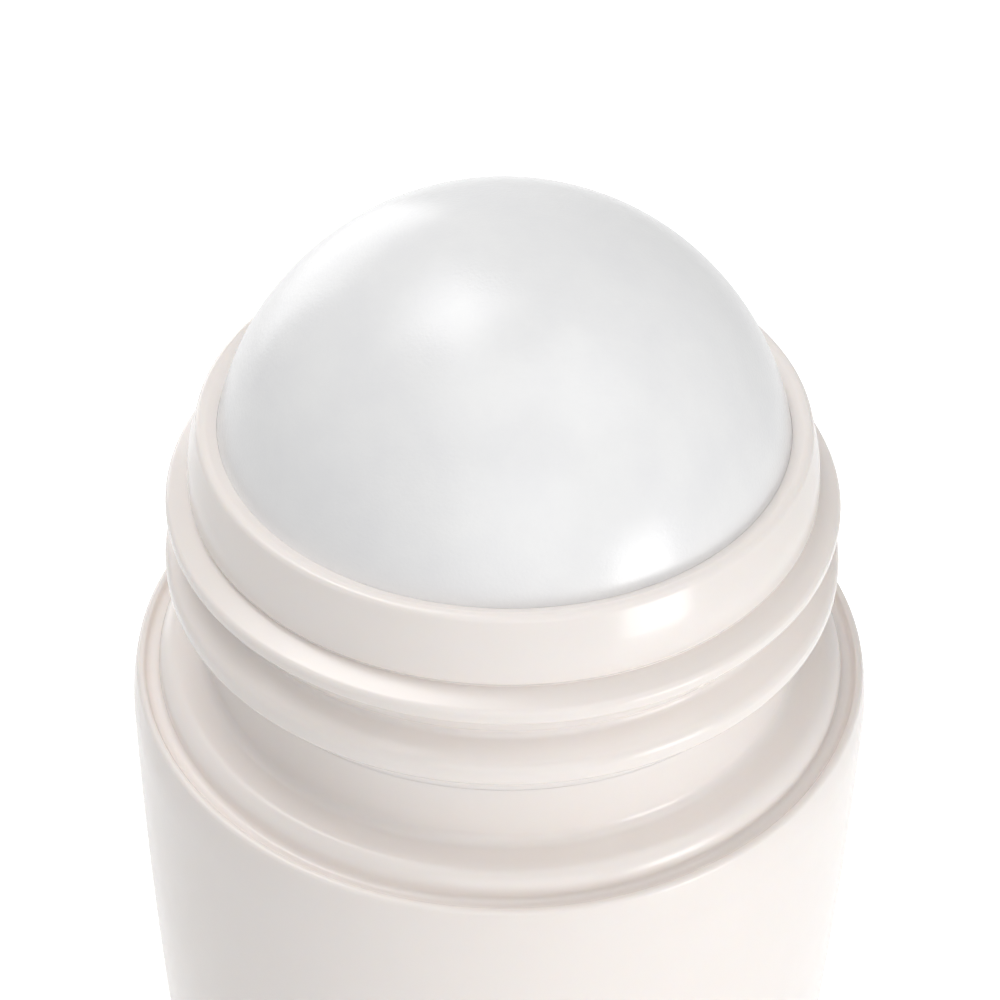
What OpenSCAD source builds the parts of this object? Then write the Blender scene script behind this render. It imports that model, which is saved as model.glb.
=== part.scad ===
// Roll-on deodorant, standing open without its cap. A hollow ball turns in a housing that snaps into
// the neck of a round bottle, and the bottle holds the deodorant.
// Millimetres, +Z up, origin under the middle of the base.

/* [Ball] */
// Diameter of the ball
ball_d = 35.56; // [33:0.01:37]
// Thickness of the ball's shell
ball_wall = 1.4; // [0.8:0.1:3]

/* [Housing] */
// Gap between the ball and the cup round it
cup_gap = 0.3; // [0.2:0.05:0.5]
// Thickness of the cup's wall
cup_wall = 1.2; // [1:0.1:1.6]
// Gap between the ball and the lip that keeps it in
lip_gap = 0.08; // [0.05:0.01:0.15]
// Height of the lip's top above the ball's centre
lip_rise = 4.25; // [4.1:0.01:4.5]
// Height above the ball's centre up to which the lip lies along the ball
lip_touch = 3.95; // [3.6:0.05:4]
// Height above the ball's centre at which the cup closes in to the lip
lip_low = 2.3; // [1.6:0.1:2.6]
// Radius of the lip's rounded top, on its outer side
lip_round = 0.4; // [0.2:0.05:0.45]
// How far the mouth flares out past the ball's radius, up to the lip's top
mouth_flare = 0.25; // [0.15:0.05:0.3]
// How far the collar leans in from its bend up to the lip
collar_lean = 0.7; // [0.3:0.05:0.75]
// Height of the collar's bend above the ball's centre
collar_bend = 1.6; // [1.3:0.05:1.9]
// Drop of the crevice under the collar below the ball's centre
crevice_drop = 0.45; // [0.3:0.05:0.6]
// Height of the crevice's opening
crevice_h = 0.4; // [0.3:0.05:0.6]
// Depth of the crevice behind the collar's side
crevice_depth = 0.28; // [0.1:0.01:0.4]
// Drop of the upper bead's edge below the ball's centre
upper_bead_drop = 1; // [0.9:0.05:1.8]
// How far the upper bead stands out past the collar
upper_bead_out = 1.42; // [1:0.01:1.8]
// Drop of the valley between the beads below the ball's centre
valley_drop = 4.1; // [3.8:0.05:4.3]
// Depth of the valley behind the collar's side
valley_depth = 0.33; // [0.1:0.01:0.5]
// Drop of the lower bead's edge below the ball's centre
lower_bead_drop = 5.15; // [5:0.05:5.4]
// How far the lower bead stands out past the collar
lower_bead_out = 1.67; // [1:0.01:1.9]
// Height of the upper bead's edge, before it is rounded
upper_bead_edge = 0.75; // [0.5:0.05:0.8]
// Height of the lower bead's edge, before it is rounded
lower_bead_edge = 1.25; // [0.9:0.05:1.4]
// Height above the seating face at which the lower bead's hollow underside reaches the neck
lower_bead_foot = 0.75; // [0.65:0.05:0.9]
// Drop of the face that sits on the bottle's neck below the ball's centre
seat_drop = 8.9; // [8.6:0.05:10]
// Length of the plug skirt inside the neck
skirt_len = 5.6; // [5:0.1:7]
// Thickness of the plug skirt
skirt_wall = 1.1; // [0.9:0.1:1.3]
// Diameter of the feed opening under the ball
feed_d = 18; // [10:0.5:22]

/* [Seat ring] */
// Angle of the seat ring below the ball's middle
seat_angle = 50; // [46:1:54]
// Radius of the seat ring's rounded top
seat_round = 0.6; // [0.4:0.05:0.7]
// Gap between the ball and the seat ring it turns on
seat_gap = 0.05; // [0.02:0.01:0.1]

/* [Snap fit] */
// Gap between the plug skirt and the neck's bore
plug_gap = 0.05; // [0.02:0.01:0.15]
// How far the snap bead stands out from the skirt
snap_out = 0.25; // [0.15:0.05:0.35]
// Drop of the snap bead's middle below the neck's top
snap_drop = 2.8; // [2:0.1:3.6]
// Height of the snap bead
snap_h = 1.2; // [0.8:0.1:1.6]

/* [Neck] */
// Thickness of the neck's wall
neck_wall = 1.45; // [1.2:0.05:1.8]
// Height of the neck above the cap ring
neck_h = 4.3; // [4:0.1:6]
// Radius of the hollow at the foot of the neck
neck_foot_round = 0.8; // [0.5:0.1:1.5]

/* [Shoulder] */
// Height of the shoulder's rim above the base
rim_h = 65.45; // [55:0.05:80]
// Rise of the cap ring above the rim
ring_rise = 1.35; // [0.8:0.05:2]
// Depth of the channel below the rim
channel_depth = 0.5; // [0.3:0.05:0.9]
// Width of the channel's floor
channel_w = 0.75; // [0.6:0.05:0.9]
// Slope of the rim's inner side, measured across
rim_slope = 0.25; // [0.15:0.05:0.4]
// Width of the rim's top
rim_w = 0.4; // [0.36:0.01:0.5]

/* [Body] */
// Diameter of the body at its widest
body_d = 47.24; // [47:0.02:56]
// Diameter of the body at its base, before its edge is rounded
base_d = 40.2; // [38:0.1:46]
// Drop of the widest place below the rim
widest_drop = 2.95; // [2:0.05:5]
// Radius of the roll from the widest place up to the rim
shoulder_round = 12; // [9:0.5:16]
// Thickness of the body's wall
body_wall = 1.2; // [0.8:0.1:1.6]
// Radius of the base's outer edge
base_round = 2; // [1:0.1:3]
// Width of the ring that the bottle stands on
foot_w = 1.6; // [1:0.1:2.4]
// Height of the hollow under the base
base_hollow_h = 1.4; // [0.8:0.1:2]

/* [Contents] */
// Height of the deodorant's surface above the base
fill_h = 55; // [15:1:56]
// Gap drawn between the deodorant and the bottle's wall
fill_gap = 0.1; // [0.05:0.01:0.2]

/* [Hidden] */
$fn = 96;

// Ivory polypropylene of bottle and housing, cooler white of the ball, milky deodorant
ivory = [0.95, 0.93, 0.9];
ball_white = [0.9, 0.9, 0.91];
milk = [0.93, 0.95, 0.92];

// Straight steps in each rounded corner and in each long curve
corner_steps = 6;
curve_steps = 14;
// A cut runs this far past the face that it opens
past = 1;

ball_r = ball_d / 2;
cup_r = ball_r + cup_gap;
shell_r = cup_r + cup_wall;
collar_r = shell_r;
mouth_r = sqrt(pow(ball_r + lip_gap, 2) - pow(lip_touch, 2));

// The plug skirt hangs just outside the cup where the cup passes the seating face
skirt_clear = 0.25;
skirt_r = sqrt(pow(shell_r, 2) - pow(seat_drop, 2)) + skirt_clear;
bore_r = skirt_r + plug_gap;
neck_r = bore_r + neck_wall;

// Levels above the base
channel_z = rim_h - channel_depth;
ring_z = rim_h + ring_rise;
neck_z = ring_z + neck_h;
ball_z = neck_z + seat_drop;
widest_z = rim_h - widest_drop;

// Radii of the shoulder, from the widest place inwards
body_r = body_d / 2;
base_r = base_d / 2;
rim_r = roll_r(rim_h);
rim_in_r = rim_r - rim_w;
channel_out_r = rim_in_r - rim_slope;
ring_r = channel_out_r - channel_w;

// Roundings of the small corners
mouth_round = 0.5;
lip_swell = 8;
upper_bead_round = 0.4;
lower_bead_round = 0.8;
underside_round = 1.1;
collar_round = 0.5;
valley_round = 0.4;
ring_round = 1.2;
channel_round = 0.35;
rim_round = 0.3;
neck_top_round = 0.1;
skirt_round = 0.3;

// Radius of the outside at height z, below and above the widest place
function side_r(z) = body_r - (body_r - base_r) * pow((widest_z - z) / widest_z, 2);
function roll_r(z) = body_r - shoulder_round + sqrt(pow(shoulder_round, 2) - pow(z - widest_z, 2));

// Points of the arc of radius q that rounds the corner at b between a and c
function corner(a, b, c, q) =
    let (
        u = (a - b) / norm(a - b),
        v = (c - b) / norm(c - b),
        half = acos(u * v) / 2,
        middle = b + (u + v) / norm(u + v) * q / sin(half),
        start = b + u * q / tan(half) - middle,
        end = b + v * q / tan(half) - middle,
        from = atan2(start.y, start.x),
        turn = (atan2(end.y, end.x) - from + 540) % 360 - 180
    )
    q == 0 ? [b] : [for (i = [0:corner_steps]) let (t = from + turn * i / corner_steps) middle + q * [cos(t), sin(t)]];

// An outline from corners [r, z, rounding], each rounded as its third number says
function rounded(corners) =
    let (n = len(corners), at = [for (p = corners) [p[0], p[1]]])
    [for (i = [0:n - 1]) each corner(at[(i + n - 1) % n], at[i], at[(i + 1) % n], corners[i][2])];

// The body's side from height low up to the widest place, moved in by the thickness inset
function side(low, inset) =
    [for (i = [0:curve_steps]) let (z = low + (widest_z - low) * i / curve_steps) [side_r(z) - inset, z, 0]];

// Outside of the bottle, from the middle of the base round to the bore's mouth
function bottle_corners() =
    let (foot_r = side_r(0) - base_round, foot_in_r = foot_r - foot_w)
    concat(
        [
            [0, base_hollow_h, 0],
            [foot_in_r - base_hollow_h, base_hollow_h, base_hollow_h / 2],
            [foot_in_r, 0, base_hollow_h / 3],
            [side_r(0), 0, base_round],
        ],
        side(2 * base_round, 0),
        [for (i = [1:corner_steps - 1]) let (z = widest_z + widest_drop * i / corner_steps) [roll_r(z), z, 0]],
        [
            [rim_r, rim_h, rim_round],
            [rim_in_r, rim_h, rim_round / 2],
            [channel_out_r, channel_z, channel_round],
            [ring_r, channel_z, channel_round],
            [ring_r, ring_z, ring_round],
            [neck_r, ring_z, neck_foot_round],
            [neck_r, neck_z, neck_top_round],
            [0, neck_z, 0],
        ]
    );

// Inside of the bottle up to height top, moved in by gap
function cavity_floor(gap) =
    let (
        low = body_wall + gap,
        high = base_hollow_h + body_wall + gap,
        foot_in_r = side_r(0) - base_round - foot_w
    )
    [
        [0, high, 0],
        [foot_in_r - base_hollow_h, high, base_hollow_h / 3],
        [foot_in_r, low, base_hollow_h / 3],
        [side_r(low) - body_wall - gap, low, base_round - body_wall / 2],
    ];

// Inside of the shoulder, from the body's wall in to the neck's bore
function cavity_shoulder() = [
    [ring_r - body_wall / 2, ring_z - 2 * body_wall, body_wall / 2],
    [bore_r, ring_z - body_wall - neck_foot_round / 2, body_wall / 2],
    [bore_r, neck_z + past, 0],
    [0, neck_z + past, 0],
];

module bottle() {
    color(ivory)
    difference() {
        rotate_extrude() polygon(rounded(bottle_corners()));
        rotate_extrude()
            polygon(rounded(concat(cavity_floor(0), side(2 * base_round + body_wall, body_wall), cavity_shoulder())));
        snap_groove();
    }
}

// Groove in the neck's bore that the housing's snap bead sits in
module snap_groove() {
    groove_r = bore_r + snap_out + plug_gap;
    translate([0, 0, neck_z - snap_drop - snap_h / 2 - plug_gap])
        cylinder(r = groove_r, h = snap_h + 2 * plug_gap);
}

// Outside of the housing above the neck: seating face, two beads, collar and lip
module housing_outside() {
    rotate_extrude() polygon(rounded([
        [0, -seat_drop, 0],
        [neck_r, -seat_drop, neck_top_round],
        [neck_r, -seat_drop + lower_bead_foot, underside_round],
        [collar_r + lower_bead_out, -lower_bead_drop - lower_bead_edge, lower_bead_round],
        [collar_r + lower_bead_out, -lower_bead_drop, lower_bead_round],
        [collar_r - valley_depth, -valley_drop, valley_round],
        [collar_r + upper_bead_out, -upper_bead_drop - upper_bead_edge, upper_bead_round],
        [collar_r + upper_bead_out, -upper_bead_drop, upper_bead_round],
        [collar_r - crevice_depth, -crevice_drop, 0],
        [collar_r, crevice_h - crevice_drop, collar_round],
        [collar_r, collar_bend, lip_swell],
        [collar_r - collar_lean, lip_rise, lip_round],
        [ball_r + mouth_flare, lip_rise, mouth_round],
        [mouth_r, lip_touch, 0],
        [0, lip_touch, 0],
    ]));
}

// Hollow that holds the ball: the cup, and the narrower lip above it that keeps the ball in
module cup_hollow() {
    sphere(ball_r + lip_gap);
    intersection() {
        sphere(cup_r);
        translate([0, 0, -shell_r]) cylinder(r = shell_r, h = shell_r + lip_low);
    }
}

// Plug skirt with its snap bead, hanging in the neck
module skirt() {
    snap_r = skirt_r + snap_out;
    snap_z = -seat_drop - snap_drop;
    rotate_extrude() polygon(rounded([
        [skirt_r - skirt_wall, -seat_drop + skirt_wall, 0],
        [skirt_r - skirt_wall, -seat_drop - skirt_len, skirt_round],
        [skirt_r, -seat_drop - skirt_len, skirt_round],
        [skirt_r, snap_z - snap_h / 2, 0],
        [snap_r, snap_z - snap_h / 4, 0],
        [snap_r, snap_z + snap_h / 4, 0],
        [skirt_r, snap_z + snap_h / 2, 0],
        [skirt_r, -seat_drop + skirt_wall, 0],
    ]));
}

// Ring inside the cup that the ball turns on
module seat_ring() {
    reach = ball_r + seat_gap + seat_round;
    rotate_extrude() translate(reach * [cos(seat_angle), -sin(seat_angle)]) circle(seat_round, $fn = 32);
}

module ball_housing() {
    color(ivory)
    translate([0, 0, ball_z]) {
        difference() {
            union() {
                housing_outside();
                skirt();
                intersection() {
                    sphere(shell_r);
                    translate([0, 0, -shell_r]) cylinder(r = shell_r, h = shell_r - seat_drop + past);
                }
            }
            cup_hollow();
            translate([0, 0, -shell_r - past]) cylinder(d = feed_d, h = shell_r);
        }
        seat_ring();
    }
}

module roller_ball() {
    color(ball_white)
    translate([0, 0, ball_z])
    difference() {
        sphere(ball_r);
        sphere(ball_r - ball_wall);
    }
}

// Deodorant up to its surface, just clear of the bottle's inside
module deodorant_liquid() {
    low = 2 * base_round + body_wall;
    color(milk)
    intersection() {
        rotate_extrude() polygon(rounded(concat(
            cavity_floor(fill_gap),
            side(low, body_wall + fill_gap),
            [[0, widest_z, 0]]
        )));
        cylinder(r = body_r, h = fill_h);
    }
}

bottle();
ball_housing();
roller_ball();
deodorant_liquid();
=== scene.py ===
"""Roll-on deodorant, standing open without its cap, dressed for its photograph's view.

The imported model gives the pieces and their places. The ball, its housing and the bottle are drawn again
here as fine surfaces of revolution of the same form, each with its own moulded plastic. Metres, +Z up.
"""
import math
import bpy
import numpy as np
from mathutils import Matrix, Vector


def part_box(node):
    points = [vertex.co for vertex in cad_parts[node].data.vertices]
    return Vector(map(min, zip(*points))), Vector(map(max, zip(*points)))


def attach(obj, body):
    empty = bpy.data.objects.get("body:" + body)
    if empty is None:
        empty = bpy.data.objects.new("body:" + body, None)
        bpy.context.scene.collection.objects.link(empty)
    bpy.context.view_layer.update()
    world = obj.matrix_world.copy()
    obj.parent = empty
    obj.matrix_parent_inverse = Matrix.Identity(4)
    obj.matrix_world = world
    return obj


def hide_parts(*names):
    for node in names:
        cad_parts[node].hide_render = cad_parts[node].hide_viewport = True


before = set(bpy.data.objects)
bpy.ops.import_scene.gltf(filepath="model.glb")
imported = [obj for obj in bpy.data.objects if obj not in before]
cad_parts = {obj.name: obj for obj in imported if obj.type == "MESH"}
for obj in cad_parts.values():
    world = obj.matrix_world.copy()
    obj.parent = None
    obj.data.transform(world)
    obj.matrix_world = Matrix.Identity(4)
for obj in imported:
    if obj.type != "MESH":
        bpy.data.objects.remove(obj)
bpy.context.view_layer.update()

MM = 0.001

# Millimetres from here on, heights from the base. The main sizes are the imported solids' own.
ball_low, ball_high = (np.array(corner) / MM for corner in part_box("roller_ball"))
housing_high = np.array(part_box("ball_housing")[1]) / MM
bottle_high = np.array(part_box("bottle")[1]) / MM
BALL_R = (ball_high[2] - ball_low[2]) / 2
BALL_Z = (ball_high[2] + ball_low[2]) / 2
BALL_WALL = 1.4

# Housing: cup round the ball, collar, two beads and plug skirt
CUP_GAP = 0.3
CUP_WALL = 1.2
CUP_R = BALL_R + CUP_GAP
SHELL_R = CUP_R + CUP_WALL
COLLAR_R = SHELL_R
COLLAR_LOW = BALL_Z - 0.05
COLLAR_BEND = 1.6
CREVICE_R = COLLAR_R - 0.28
CREVICE_Z = BALL_Z - 0.45
UPPER_BEAD_R = COLLAR_R + 1.42
UPPER_BEAD_Z = BALL_Z - 1.0
UPPER_BEAD_EDGE = 0.75
VALLEY_R = COLLAR_R - 0.33
VALLEY_Z = BALL_Z - 4.1
LOWER_BEAD_R = housing_high[0]
LOWER_BEAD_Z = BALL_Z - 5.15
LOWER_BEAD_EDGE = 1.25
LOWER_BEAD_FOOT = 0.75
COLLAR_LEAN = 0.7
LIP_Z = housing_high[2]
LIP_GAP = 0.01
SEAM = 0.02
LIP_TOUCH = 3.95
MOUTH_FLARE = 0.25
LIP_LOW = 2.3
SEAT_Z = bottle_high[2]
SKIRT_R = math.sqrt(SHELL_R**2 - (BALL_Z - SEAT_Z) ** 2) + 0.25
SKIRT_WALL = 1.1
SKIRT_LEN = 5.6
SNAP_OUT = 0.25
SNAP_DROP = 2.8
SNAP_H = 1.2
FEED_R = 9.0
SEAT_RING_ANGLE = 50.0
SEAT_RING_ROUND = 0.6
SEAT_RING_GAP = 0.05

# Roundings of the housing's corners, from the plug skirt up to the mouth
SKIRT_ROUND = 0.3
SNAP_ROUND = 0.1
SEAT_ROUND = 0.05
UNDERSIDE_ROUND = 1.1
LOWER_BEAD_ROUND = 0.8
VALLEY_ROUND = 0.4
UPPER_BEAD_ROUND = 0.4
CREVICE_ROUND = 0.06
COLLAR_ROUND = 0.5
LIP_SWELL = 8
LIP_ROUND = 0.4
MOUTH_ROUND = 0.5

# Bottle: neck, cap ring, channel, rim, body and base
PLUG_GAP = 0.05
NECK_WALL = 1.45
BORE_R = SKIRT_R + PLUG_GAP
NECK_R = BORE_R + NECK_WALL
RING_Z = SEAT_Z - 4.3
RIM_Z = RING_Z - 1.35
CHANNEL_Z = RIM_Z - 0.5
WIDEST_Z = RIM_Z - 2.95
BODY_R = bottle_high[0]
BASE_R = 20.1
ROLL_R = 12.0
RIM_W = 0.4
RIM_SLOPE = 0.25
CHANNEL_W = 0.75
BODY_WALL = 1.2
BORE_FOOT = 0.4
BASE_ROUND = 2.0
FOOT_W = 1.6
BASE_HOLLOW = 1.4

# Roundings of the bottle's corners, from the base up and down inside
HOLLOW_ROUND = 0.7
FOOT_ROUND = 0.45
RIM_ROUND = 0.3
RIM_INNER_ROUND = 0.15
CHANNEL_ROUND = 0.35
RING_ROUND = 1.2
NECK_FOOT_ROUND = 0.8
NECK_TOP_ROUND = 0.1
GROOVE_ROUND = 0.05
INNER_ROUND = 0.6

# Meshes: edges sharper than this many degrees stay sharp, and no step of an outline is longer than these
SHARP_OVER = 40
HOUSING_STEP = 0.8
BOTTLE_STEP = 2.0

# Half the side of the square table top
FLOOR_HALF = 3000.0

# Camera, fitted to the ball's outline and the rings of the photograph
PHOTO_SIDE = 1000
LENS_PX = 2938.8
BALL_PX = (503.68, 468.07)
CAMERA_FROM_BALL = 180.0
CAMERA_ELEVATION = 39.58
CAMERA_ROLL = 1.063


def corner_arc(before, at, after, radius, steps):
    """Points of the arc that rounds the corner at: it touches both sides at radius / tan(half the angle)."""
    to_before = (before - at) / np.linalg.norm(before - at)
    to_after = (after - at) / np.linalg.norm(after - at)
    half = math.acos(float(np.clip(to_before @ to_after, -1, 1))) / 2
    middle = at + (to_before + to_after) / np.linalg.norm(to_before + to_after) * radius / math.sin(half)
    start = at + to_before * radius / math.tan(half) - middle
    end = at + to_after * radius / math.tan(half) - middle
    first = math.atan2(start[1], start[0])
    turn = (math.atan2(end[1], end[0]) - first + math.pi) % (2 * math.pi) - math.pi
    angle = first + turn * np.linspace(0, 1, steps + 1)
    return middle + radius * np.stack([np.cos(angle), np.sin(angle)], 1)


def rounded(corners, closed=False, steps=10):
    """Outline through corners (r, z, rounding), each replaced by its arc; straight between them."""
    corners = np.array(corners, float)
    points = corners[:, :2]
    parts = []
    for i, (r, z, radius) in enumerate(corners):
        inner = closed or 0 < i < len(corners) - 1
        if radius > 0 and inner:
            parts.append(corner_arc(points[i - 1], points[i], points[(i + 1) % len(corners)], radius, steps))
        else:
            parts.append(points[i : i + 1])
    return np.concatenate(parts)


def held(outline):
    """The same outline with a point next to each end of a long step, so that shading turns on the arcs alone.

    A step over three times its neighbour's length gets a point at the neighbour's length from that end.
    """
    step = np.linalg.norm(np.diff(outline, axis=0), axis=1)
    before = np.concatenate([[math.inf], step[:-1]])
    after = np.concatenate([step[1:], [math.inf]])
    index = np.arange(len(step))
    near_start = (index + before / step)[step > 3 * before]
    near_end = (index + 1 - after / step)[step > 3 * after]
    along = np.sort(np.concatenate([np.arange(len(outline)), near_start, near_end]))
    return np.stack([np.interp(along, np.arange(len(outline)), outline[:, k]) for k in (0, 1)], 1)


def refined(outline, longest):
    """The same outline with no step longer than longest: each long step is cut into equal ones."""
    step = np.linalg.norm(np.diff(outline, axis=0), axis=1)
    cuts = np.maximum(1, np.ceil(step / longest)).astype(int)
    along = np.concatenate([np.arange(n) / n + i for i, n in enumerate(cuts)] + [[len(step)]])
    return np.stack([np.interp(along, np.arange(len(outline)), outline[:, k]) for k in (0, 1)], 1)


def spun(outline, closed, turns=288, axis="Z"):
    """Vertices and faces of an outline (r, z) turned about an axis: (r cos a, r sin a, z), a round the turn.

    An open outline starts and ends on the axis, where each ring shrinks to one pole with triangles.
    """
    outline = np.array(outline)
    rings = outline if closed else outline[1:-1]
    angle = np.arange(turns) * 2 * math.pi / turns
    across, along = rings[:, 0, None], np.repeat(rings[:, 1, None], turns, 1)
    points = np.stack([across * np.cos(angle), across * np.sin(angle), along], -1).reshape(-1, 3)
    count = len(rings)
    ring, step = np.meshgrid(np.arange(count if closed else count - 1), np.arange(turns), indexing="ij")
    here, there = ring * turns, (ring + 1) % count * turns
    nxt = (step + 1) % turns
    quads = np.stack([here + step, here + nxt, there + nxt, there + step], -1).reshape(-1, 4)
    faces = quads.tolist()
    if not closed:
        step, nxt = np.arange(turns), (np.arange(turns) + 1) % turns
        last = (count - 1) * turns
        poles = np.array([[0, 0, outline[0, 1]], [0, 0, outline[-1, 1]]])
        first_pole, last_pole = len(points), len(points) + 1
        points = np.concatenate([points, poles])
        faces += np.stack([step * 0 + first_pole, nxt, step], -1).tolist()
        faces += np.stack([last + step, last + nxt, step * 0 + last_pole], -1).tolist()
    if axis == "X":
        points = points[:, [2, 0, 1]]
    return points, faces


def piece(name, shells, lift=0.0):
    """A smooth mesh object of one or more closed shells in millimetres, raised by lift."""
    points, faces = [], []
    for shell_points, shell_faces in shells:
        start = sum(len(p) for p in points)
        points.append(shell_points + np.array([0, 0, lift]))
        faces += [[start + v for v in face] for face in shell_faces]
    mesh = bpy.data.meshes.new(name)
    mesh.from_pydata((np.concatenate(points) * MM).tolist(), [], faces)
    mesh.polygons.foreach_set("use_smooth", np.ones(len(faces), bool))
    mesh.set_sharp_from_angle(angle=math.radians(SHARP_OVER))
    mesh.update()
    made = bpy.data.objects.new(name, mesh)
    bpy.context.scene.collection.objects.link(made)
    return made


def sphere_outline(radius, steps=144):
    """Half circle from the lower pole round to the upper one."""
    angle = np.linspace(-math.pi / 2, math.pi / 2, steps + 1)
    outline = radius * np.stack([np.cos(angle), np.sin(angle)], 1)
    outline[[0, -1], 0] = 0
    return outline


def make_ball():
    """Hollow ball: a sphere and a second one, facing inwards, BALL_WALL inside it; its poles lie on X."""
    outside = spun(sphere_outline(BALL_R), False, axis="X")
    inside = spun(sphere_outline(BALL_R - BALL_WALL, 72)[::-1], False, turns=96, axis="X")
    return piece("rolling_ball", [outside, inside], BALL_Z)


def around_ball(radius, start, end, steps):
    """Arc about the ball's centre between two angles above the level, as (r, z)."""
    angle = np.linspace(start, end, steps)
    return np.stack([radius * np.cos(angle), BALL_Z + radius * np.sin(angle)], 1)


def cup_outline(steps=96):
    """Inside of the cup from under the lip down to the feed opening, with the seat ring swelling in it.

    The cup is a circle about the ball's centre. The ring's near side lies reach cos d - sqrt(q^2 - reach^2
    sin^2 d) from it, where d is the angle off the ring and q its radius, and the nearer of the two shows.
    """
    angle = np.linspace(math.asin(LIP_LOW / CUP_R), -math.acos(FEED_R / CUP_R), steps)
    off = angle + math.radians(SEAT_RING_ANGLE)
    reach = BALL_R + SEAT_RING_GAP + SEAT_RING_ROUND
    inside = SEAT_RING_ROUND**2 - (reach * np.sin(off)) ** 2
    ring = reach * np.cos(off) - np.sqrt(np.clip(inside, 0, None))
    radius = np.where(inside > 0, np.minimum(ring, CUP_R), CUP_R)
    return np.stack([radius * np.cos(angle), BALL_Z + radius * np.sin(angle)], 1)


def make_housing():
    """One closed outline: plug skirt, seating face, lower and upper bead, collar, lip, cup, feed opening."""
    snap_z = SEAT_Z - SNAP_DROP
    lip_r = BALL_R + LIP_GAP
    outside = rounded([
        (SKIRT_R - SKIRT_WALL, BALL_Z - math.sqrt(SHELL_R**2 - (SKIRT_R - SKIRT_WALL) ** 2), 0),
        (SKIRT_R - SKIRT_WALL, SEAT_Z - SKIRT_LEN, SKIRT_ROUND),
        (SKIRT_R, SEAT_Z - SKIRT_LEN, SKIRT_ROUND),
        (SKIRT_R, snap_z - SNAP_H / 2, SNAP_ROUND),
        (SKIRT_R + SNAP_OUT, snap_z - SNAP_H / 4, SNAP_ROUND),
        (SKIRT_R + SNAP_OUT, snap_z + SNAP_H / 4, SNAP_ROUND),
        (SKIRT_R, snap_z + SNAP_H / 2, SNAP_ROUND),
        (SKIRT_R, SEAT_Z + SEAM, SEAT_ROUND),
        (NECK_R, SEAT_Z + SEAM, 0),
        (NECK_R, SEAT_Z + LOWER_BEAD_FOOT, UNDERSIDE_ROUND),
        (LOWER_BEAD_R, LOWER_BEAD_Z - LOWER_BEAD_EDGE, LOWER_BEAD_ROUND),
        (LOWER_BEAD_R, LOWER_BEAD_Z, LOWER_BEAD_ROUND),
        (VALLEY_R, VALLEY_Z, VALLEY_ROUND),
        (UPPER_BEAD_R, UPPER_BEAD_Z - UPPER_BEAD_EDGE, UPPER_BEAD_ROUND),
        (UPPER_BEAD_R, UPPER_BEAD_Z, UPPER_BEAD_ROUND),
        (CREVICE_R, CREVICE_Z, CREVICE_ROUND),
        (COLLAR_R, COLLAR_LOW, COLLAR_ROUND),
        (COLLAR_R, BALL_Z + COLLAR_BEND, LIP_SWELL),
        (COLLAR_R - COLLAR_LEAN, LIP_Z, LIP_ROUND),
        (BALL_R + MOUTH_FLARE, LIP_Z, MOUTH_ROUND),
        (math.sqrt(lip_r**2 - LIP_TOUCH**2), BALL_Z + LIP_TOUCH, 0),
    ])
    lip = around_ball(lip_r, math.asin(LIP_TOUCH / lip_r), math.asin(LIP_LOW / lip_r), 8)[1:]
    start = -math.acos(FEED_R / SHELL_R)
    end = -math.acos((SKIRT_R - SKIRT_WALL) / SHELL_R)
    back = around_ball(SHELL_R, start, end, 24)[:-1]
    outline = np.concatenate([refined(held(outside), HOUSING_STEP), lip, cup_outline(), back])
    return piece("ball_holder", [spun(outline, True)])


def side(low, high, inset, steps=40):
    """Body's side: its radius falls with the square of the depth below the widest place, to BASE_R."""
    z = np.linspace(low, high, steps)
    r = BODY_R - (BODY_R - BASE_R) * ((WIDEST_Z - z) / WIDEST_Z) ** 2 - inset
    return np.stack([r, z, z * 0], 1).tolist()


def shoulder_roll(steps=12):
    """Arc of ROLL_R that leads from the widest place in and up to the rim."""
    z = np.linspace(WIDEST_Z, RIM_Z, steps + 1)[1:-1]
    r = BODY_R - ROLL_R + np.sqrt(ROLL_R**2 - (z - WIDEST_Z) ** 2)
    return np.stack([r, z, z * 0], 1).tolist()


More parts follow.
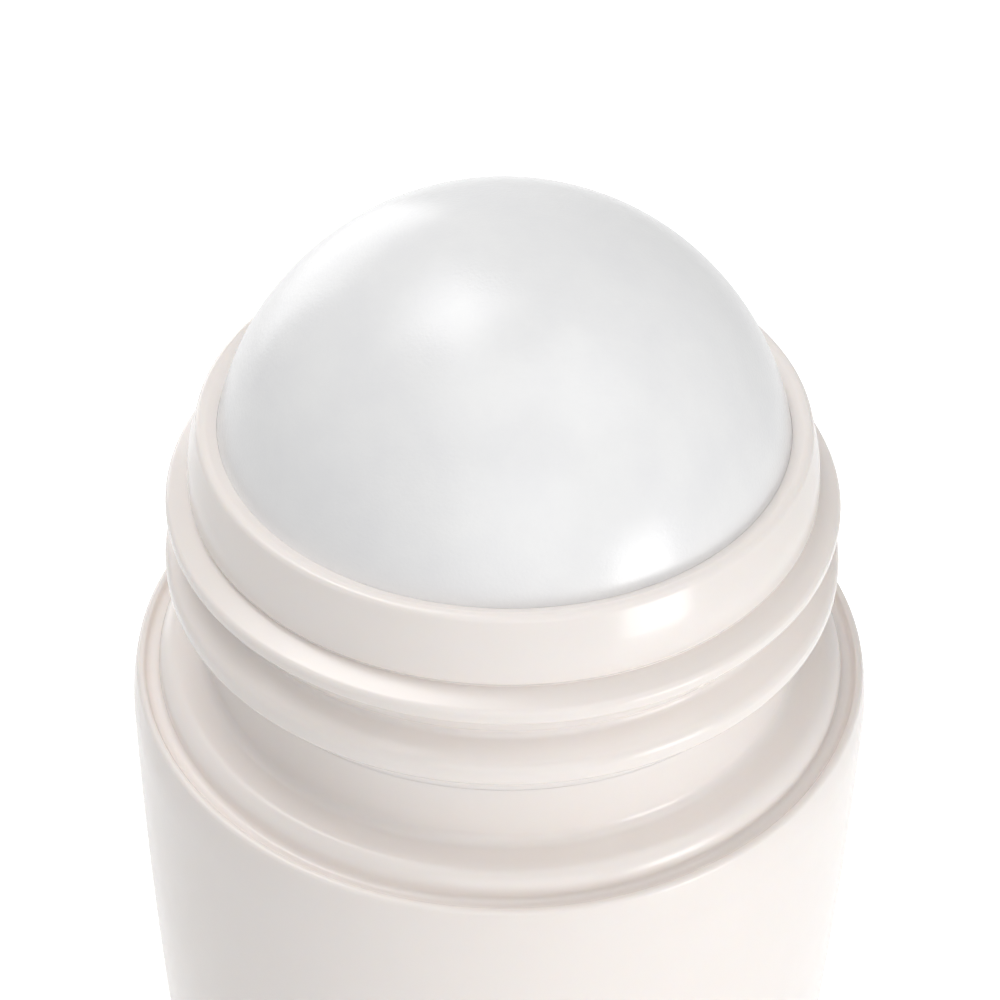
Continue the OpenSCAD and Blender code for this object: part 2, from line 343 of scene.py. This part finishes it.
def make_bottle():
    """One outline from the middle of the base round the outside, over the neck's mouth and down inside."""
    rim_r = BODY_R - ROLL_R + math.sqrt(ROLL_R**2 - (RIM_Z - WIDEST_Z) ** 2)
    channel_out = rim_r - RIM_W - RIM_SLOPE
    ring_r = channel_out - CHANNEL_W
    base_r = BASE_R - BASE_ROUND
    foot_in = base_r - FOOT_W
    groove_low = SEAT_Z - SNAP_DROP - SNAP_H / 2 - PLUG_GAP
    groove_high = SEAT_Z - SNAP_DROP + SNAP_H / 2 + PLUG_GAP
    groove_r = BORE_R + SNAP_OUT + PLUG_GAP
    corners = [
        (0, BASE_HOLLOW, 0),
        (foot_in - BASE_HOLLOW, BASE_HOLLOW, HOLLOW_ROUND),
        (foot_in, 0, FOOT_ROUND),
        (BASE_R, 0, BASE_ROUND),
    ]
    corners += side(2 * BASE_ROUND, WIDEST_Z, 0)
    corners += shoulder_roll()
    corners += [
        (rim_r, RIM_Z, RIM_ROUND),
        (rim_r - RIM_W, RIM_Z, RIM_INNER_ROUND),
        (channel_out, CHANNEL_Z, CHANNEL_ROUND),
        (ring_r, CHANNEL_Z, CHANNEL_ROUND),
        (ring_r, RING_Z, RING_ROUND),
        (NECK_R, RING_Z, NECK_FOOT_ROUND),
        (NECK_R, SEAT_Z, 0),
        (BORE_R, SEAT_Z, NECK_TOP_ROUND),
        (BORE_R, groove_high, GROOVE_ROUND),
        (groove_r, groove_high, GROOVE_ROUND),
        (groove_r, groove_low, GROOVE_ROUND),
        (BORE_R, groove_low, GROOVE_ROUND),
        (BORE_R, RING_Z - BODY_WALL - BORE_FOOT, INNER_ROUND),
        (ring_r - BODY_WALL / 2, RING_Z - 2 * BODY_WALL, INNER_ROUND),
    ]
    corners += side(2 * BASE_ROUND + BODY_WALL, WIDEST_Z, BODY_WALL)[::-1]
    inner_r = side(BODY_WALL, WIDEST_Z, BODY_WALL)[0][0]
    corners += [
        (inner_r, BODY_WALL, BASE_ROUND - BODY_WALL / 2),
        (foot_in, BODY_WALL, FOOT_ROUND),
        (foot_in - BASE_HOLLOW, BASE_HOLLOW + BODY_WALL, FOOT_ROUND),
        (0, BASE_HOLLOW + BODY_WALL, 0),
    ]
    outline = refined(held(rounded(corners, steps=8)), BOTTLE_STEP)
    return piece("blown_bottle", [spun(outline, False)])


def linear(colour):
    """Linear RGBA of an sRGB hex colour."""
    value = np.array([int(colour[i : i + 2], 16) for i in (1, 3, 5)]) / 255
    value = np.where(value <= 0.04045, value / 12.92, ((value + 0.055) / 1.055) ** 2.4)
    return (*value.tolist(), 1.0)


def add(tree, kind, inputs=None, **settings):
    """Adds a shader node: inputs maps a socket's name or number to a value or to another node's output."""
    node = tree.nodes.new("ShaderNode" + kind)
    for name, value in settings.items():
        setattr(node, name, value)
    for key, value in (inputs or {}).items():
        if isinstance(value, bpy.types.NodeSocket):
            tree.links.new(value, node.inputs[key])
        else:
            node.inputs[key].default_value = value
    return node


def new_material(name):
    """A material with an empty node tree, its Object coordinates and its output."""
    made = bpy.data.materials.new(name)
    made.use_nodes = True
    tree = made.node_tree
    tree.nodes.clear()
    place = add(tree, "TexCoord").outputs["Object"]
    output = add(tree, "OutputMaterial")
    return made, tree, place, output


def finish_plastic(tree, output, colour, normal, sockets):
    """Closes a plastic's tree with one Principled shader."""
    shader = add(tree, "BsdfPrincipled", {"Base Color": colour, "Normal": normal, **sockets})
    tree.links.new(shader.outputs[0], output.inputs["Surface"])


def noise(tree, place, size_mm, detail=2.0):
    """Noise whose lumps are about size_mm across."""
    return add(tree, "TexNoise", {"Vector": place, "Scale": 1 / (size_mm * MM), "Detail": detail}).outputs[0]


def between(tree, factor, low, high):
    """Stretches a factor's middle range, 0.3 to 0.7, to low..high."""
    sockets = {"Value": factor, "From Min": 0.3, "From Max": 0.7, "To Min": low, "To Max": high}
    return add(tree, "MapRange", sockets).outputs[0]


def moulded_ivory(name, colour, shade, roughness, wave_mm, wave_height):
    """Ivory polypropylene from a polished mould.

    The eye gets a soft satin gloss over a warm white that light enters a little. The mould's polish leaves
    grain too fine to see, drawn here 0.25 mm across, and shrinkage leaves long shallow waves in the gloss.
    """
    made, tree, place, output = new_material(name)
    cloud = between(tree, noise(tree, place, 14), 0, 1)
    tone = add(tree, "Mix", {0: cloud, 6: linear(colour), 7: linear(shade)}, data_type="RGBA").outputs[2]
    rough = between(tree, noise(tree, place, 5), roughness - 0.02, roughness + 0.02)
    waves = add(tree, "Bump", {"Height": noise(tree, place, wave_mm, 1), "Distance": wave_height * MM})
    grain = add(tree, "Bump", {
        "Height": noise(tree, place, 0.25), "Distance": 0.004 * MM, "Normal": waves.outputs[0],
    })
    finish_plastic(tree, output, tone, grain.outputs[0], {
        "Roughness": rough,
        "IOR": 1.49,
        "Subsurface Weight": 0.25,
        "Subsurface Radius": (0.5 * MM, 0.4 * MM, 0.3 * MM),
        "Subsurface Scale": 1.0,
    })
    return made


def frosted_ball():
    """Cool white polypropylene ball, tumbled to a fine frost so that it carries the liquid.

    The eye gets a broad soft sheen that breaks into fine sparkle at the edge of each highlight, faint cloudy
    patches and hair-fine scuffs that run one way. The frost's real grain is about 0.05 mm; it is drawn
    0.2 mm across to show.
    """
    made, tree, place, output = new_material("frosted_ball")
    cloud = between(tree, noise(tree, place, 3, 6), 0, 1)
    colours = {0: cloud, 6: linear("#F6F6F6"), 7: linear("#F2F2F3")}
    tone = add(tree, "Mix", colours, data_type="RGBA").outputs[2]
    stretched = add(tree, "Mapping", {"Vector": place, "Scale": (0.15, 0.6, 1.0), "Rotation": (0, 0.2, 0)})
    scuffs = noise(tree, stretched.outputs[0], 0.25, 3)
    rough = between(tree, scuffs, 0.21, 0.26)
    scuffed = add(tree, "Bump", {"Height": scuffs, "Distance": 0.006 * MM})
    frost = add(tree, "Bump", {
        "Height": noise(tree, place, 0.2), "Distance": 0.012 * MM, "Normal": scuffed.outputs[0],
    })
    finish_plastic(tree, output, tone, frost.outputs[0], {
        "Roughness": rough,
        "IOR": 1.49,
    })
    return made


def milky_liquid():
    """Deodorant emulsion: a white liquid, smooth and wet, seen only if the bottle is opened."""
    made, tree, place, output = new_material("milky_liquid")
    cloud = between(tree, noise(tree, place, 9), 0, 1)
    colours = {0: cloud, 6: linear("#F2F4F0"), 7: linear("#ECEFEA")}
    tone = add(tree, "Mix", colours, data_type="RGBA").outputs[2]
    ripple = add(tree, "Bump", {"Height": noise(tree, place, 12, 1), "Distance": 0.05 * MM})
    finish_plastic(tree, output, tone, ripple.outputs[0], {"Roughness": 0.08, "IOR": 1.34})
    return made


def place_camera():
    """Camera CAMERA_FROM_BALL from the ball, turned so that the ball's centre falls on BALL_PX."""
    elevation, roll = math.radians(CAMERA_ELEVATION), math.radians(CAMERA_ROLL)
    forward = Vector((0, math.cos(elevation), -math.sin(elevation)))
    level = Vector((1, 0, 0))
    raised = level.cross(forward)
    right = math.cos(roll) * level + math.sin(roll) * raised
    up = -math.sin(roll) * level + math.cos(roll) * raised
    across = (BALL_PX[0] - PHOTO_SIDE / 2) / LENS_PX
    above = -(BALL_PX[1] - PHOTO_SIDE / 2) / LENS_PX
    place = Vector((0, 0, BALL_Z)) - (forward + across * right + above * up) * CAMERA_FROM_BALL
    camera = bpy.data.cameras.new("camera")
    camera.sensor_width = 36
    camera.lens = camera.sensor_width * LENS_PX / PHOTO_SIDE
    camera.clip_start = 0.005
    holder = bpy.data.objects.new("camera", camera)
    rows = [(right[i], up[i], -forward[i], place[i] * MM) for i in range(3)]
    holder.matrix_world = Matrix(rows + [(0, 0, 0, 1)])
    bpy.context.scene.collection.objects.link(holder)
    bpy.context.scene.camera = holder


def seen_directly(tree):
    """1 for rays that show the backdrop itself: from the camera, in gloss and through glass."""
    path = add(tree, "LightPath").outputs
    rays = path["Is Camera Ray"]
    for other in ("Is Glossy Ray", "Is Transmission Ray"):
        rays = add(tree, "Math", {0: rays, 1: path[other]}, operation="MAXIMUM").outputs[0]
    return rays


def white_world(strength):
    """Even white surroundings: plain white where they are seen, at strength where they light the object."""
    world = bpy.data.worlds.new("white_surroundings")
    bpy.context.scene.world = world
    world.use_nodes = True
    tree = world.node_tree
    tree.nodes.clear()
    lit = add(tree, "Background", {"Color": (1, 1, 1, 1), "Strength": strength})
    seen = add(tree, "Background", {"Color": (1, 1, 1, 1), "Strength": 1.0})
    mixed = add(tree, "MixShader", {0: seen_directly(tree), 1: lit.outputs[0], 2: seen.outputs[0]})
    output = add(tree, "OutputWorld")
    tree.links.new(mixed.outputs[0], output.inputs["Surface"])


def white_floor():
    """White table top under the bottle, matt, a little brighter to the eye than it is as a light."""
    made, tree, _, output = new_material("white_table")
    extra = add(tree, "Math", {0: seen_directly(tree), 1: 0.5}, operation="MULTIPLY").outputs[0]
    tone = linear("#F4F4F4")
    shader = add(tree, "BsdfPrincipled", {
        "Base Color": tone, "Roughness": 0.6, "Emission Color": (1, 1, 1, 1),
    })
    tree.links.new(extra, shader.inputs["Emission Strength"])
    tree.links.new(shader.outputs[0], output.inputs["Surface"])
    half = FLOOR_HALF * MM
    mesh = bpy.data.meshes.new("table_top")
    corners = [(-half, -half, 0), (half, -half, 0), (half, half, 0), (-half, half, 0)]
    mesh.from_pydata(corners, [], [(0, 1, 2, 3)])
    floor = bpy.data.objects.new("table_top", mesh)
    bpy.context.scene.collection.objects.link(floor)
    mesh.materials.append(made)


def lamp(name, azimuth, elevation, distance, size, watts):
    """Square area lamp aimed at the ball; azimuth from the camera's side, growing to the right."""
    side_turn, lift = math.radians(azimuth), math.radians(elevation)
    aim = Vector((0, 0, BALL_Z * MM))
    level = math.cos(lift)
    away = Vector((math.sin(side_turn) * level, -math.cos(side_turn) * level, math.sin(lift)))
    light = bpy.data.lights.new(name, "AREA")
    light.size = size
    light.energy = watts
    holder = bpy.data.objects.new(name, light)
    holder.location = aim + away * distance
    holder.rotation_euler = away.to_track_quat("Z", "Y").to_euler()
    bpy.context.scene.collection.objects.link(holder)


def studio():
    """White studio: a soft main lamp overhead from behind, a window low at the right, and broad fills."""
    white_world(0.23)
    white_floor()
    lamp("overhead_soft", -126, 68, 0.5, 0.32, 0.6)
    lamp("overhead_core", -126, 70, 0.5, 0.18, 0.3)
    lamp("front_fill", 5, 18, 0.5, 0.4, 0.58)
    lamp("upper_front", -21, 65, 0.5, 0.3, 0.3)
    lamp("upper_right", 60, 60, 0.5, 0.3, 0.34)
    lamp("low_window", 50, -8, 0.22, 0.085, 0.125)
    lamp("back_left", -150, 5, 0.5, 0.3, 0.45)


def dress():
    """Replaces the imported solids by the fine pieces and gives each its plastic."""
    ball = make_ball()
    housing = make_housing()
    bottle = make_bottle()
    ivory_housing = moulded_ivory("moulded_ivory", "#F7F0EC", "#F5EEE9", 0.19, 8, 0.02)
    ivory_bottle = moulded_ivory("blown_ivory", "#F7F0EC", "#F5EEE9", 0.22, 16, 0.06)
    for made, node, body, slot, material in (
        (ball, "roller_ball", "ball", "ball_plastic", frosted_ball()),
        (housing, "ball_housing", "container", "housing_plastic", ivory_housing),
        (bottle, "bottle", "container", "bottle_plastic", ivory_bottle),
    ):
        made.data.materials.append(material)
        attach(made, body)
        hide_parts(node)
    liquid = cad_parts["deodorant_liquid"]
    liquid.data.materials.clear()
    liquid.data.materials.append(milky_liquid())


place_camera()
dress()
studio()
bpy.context.scene.view_settings.view_transform = "Standard"
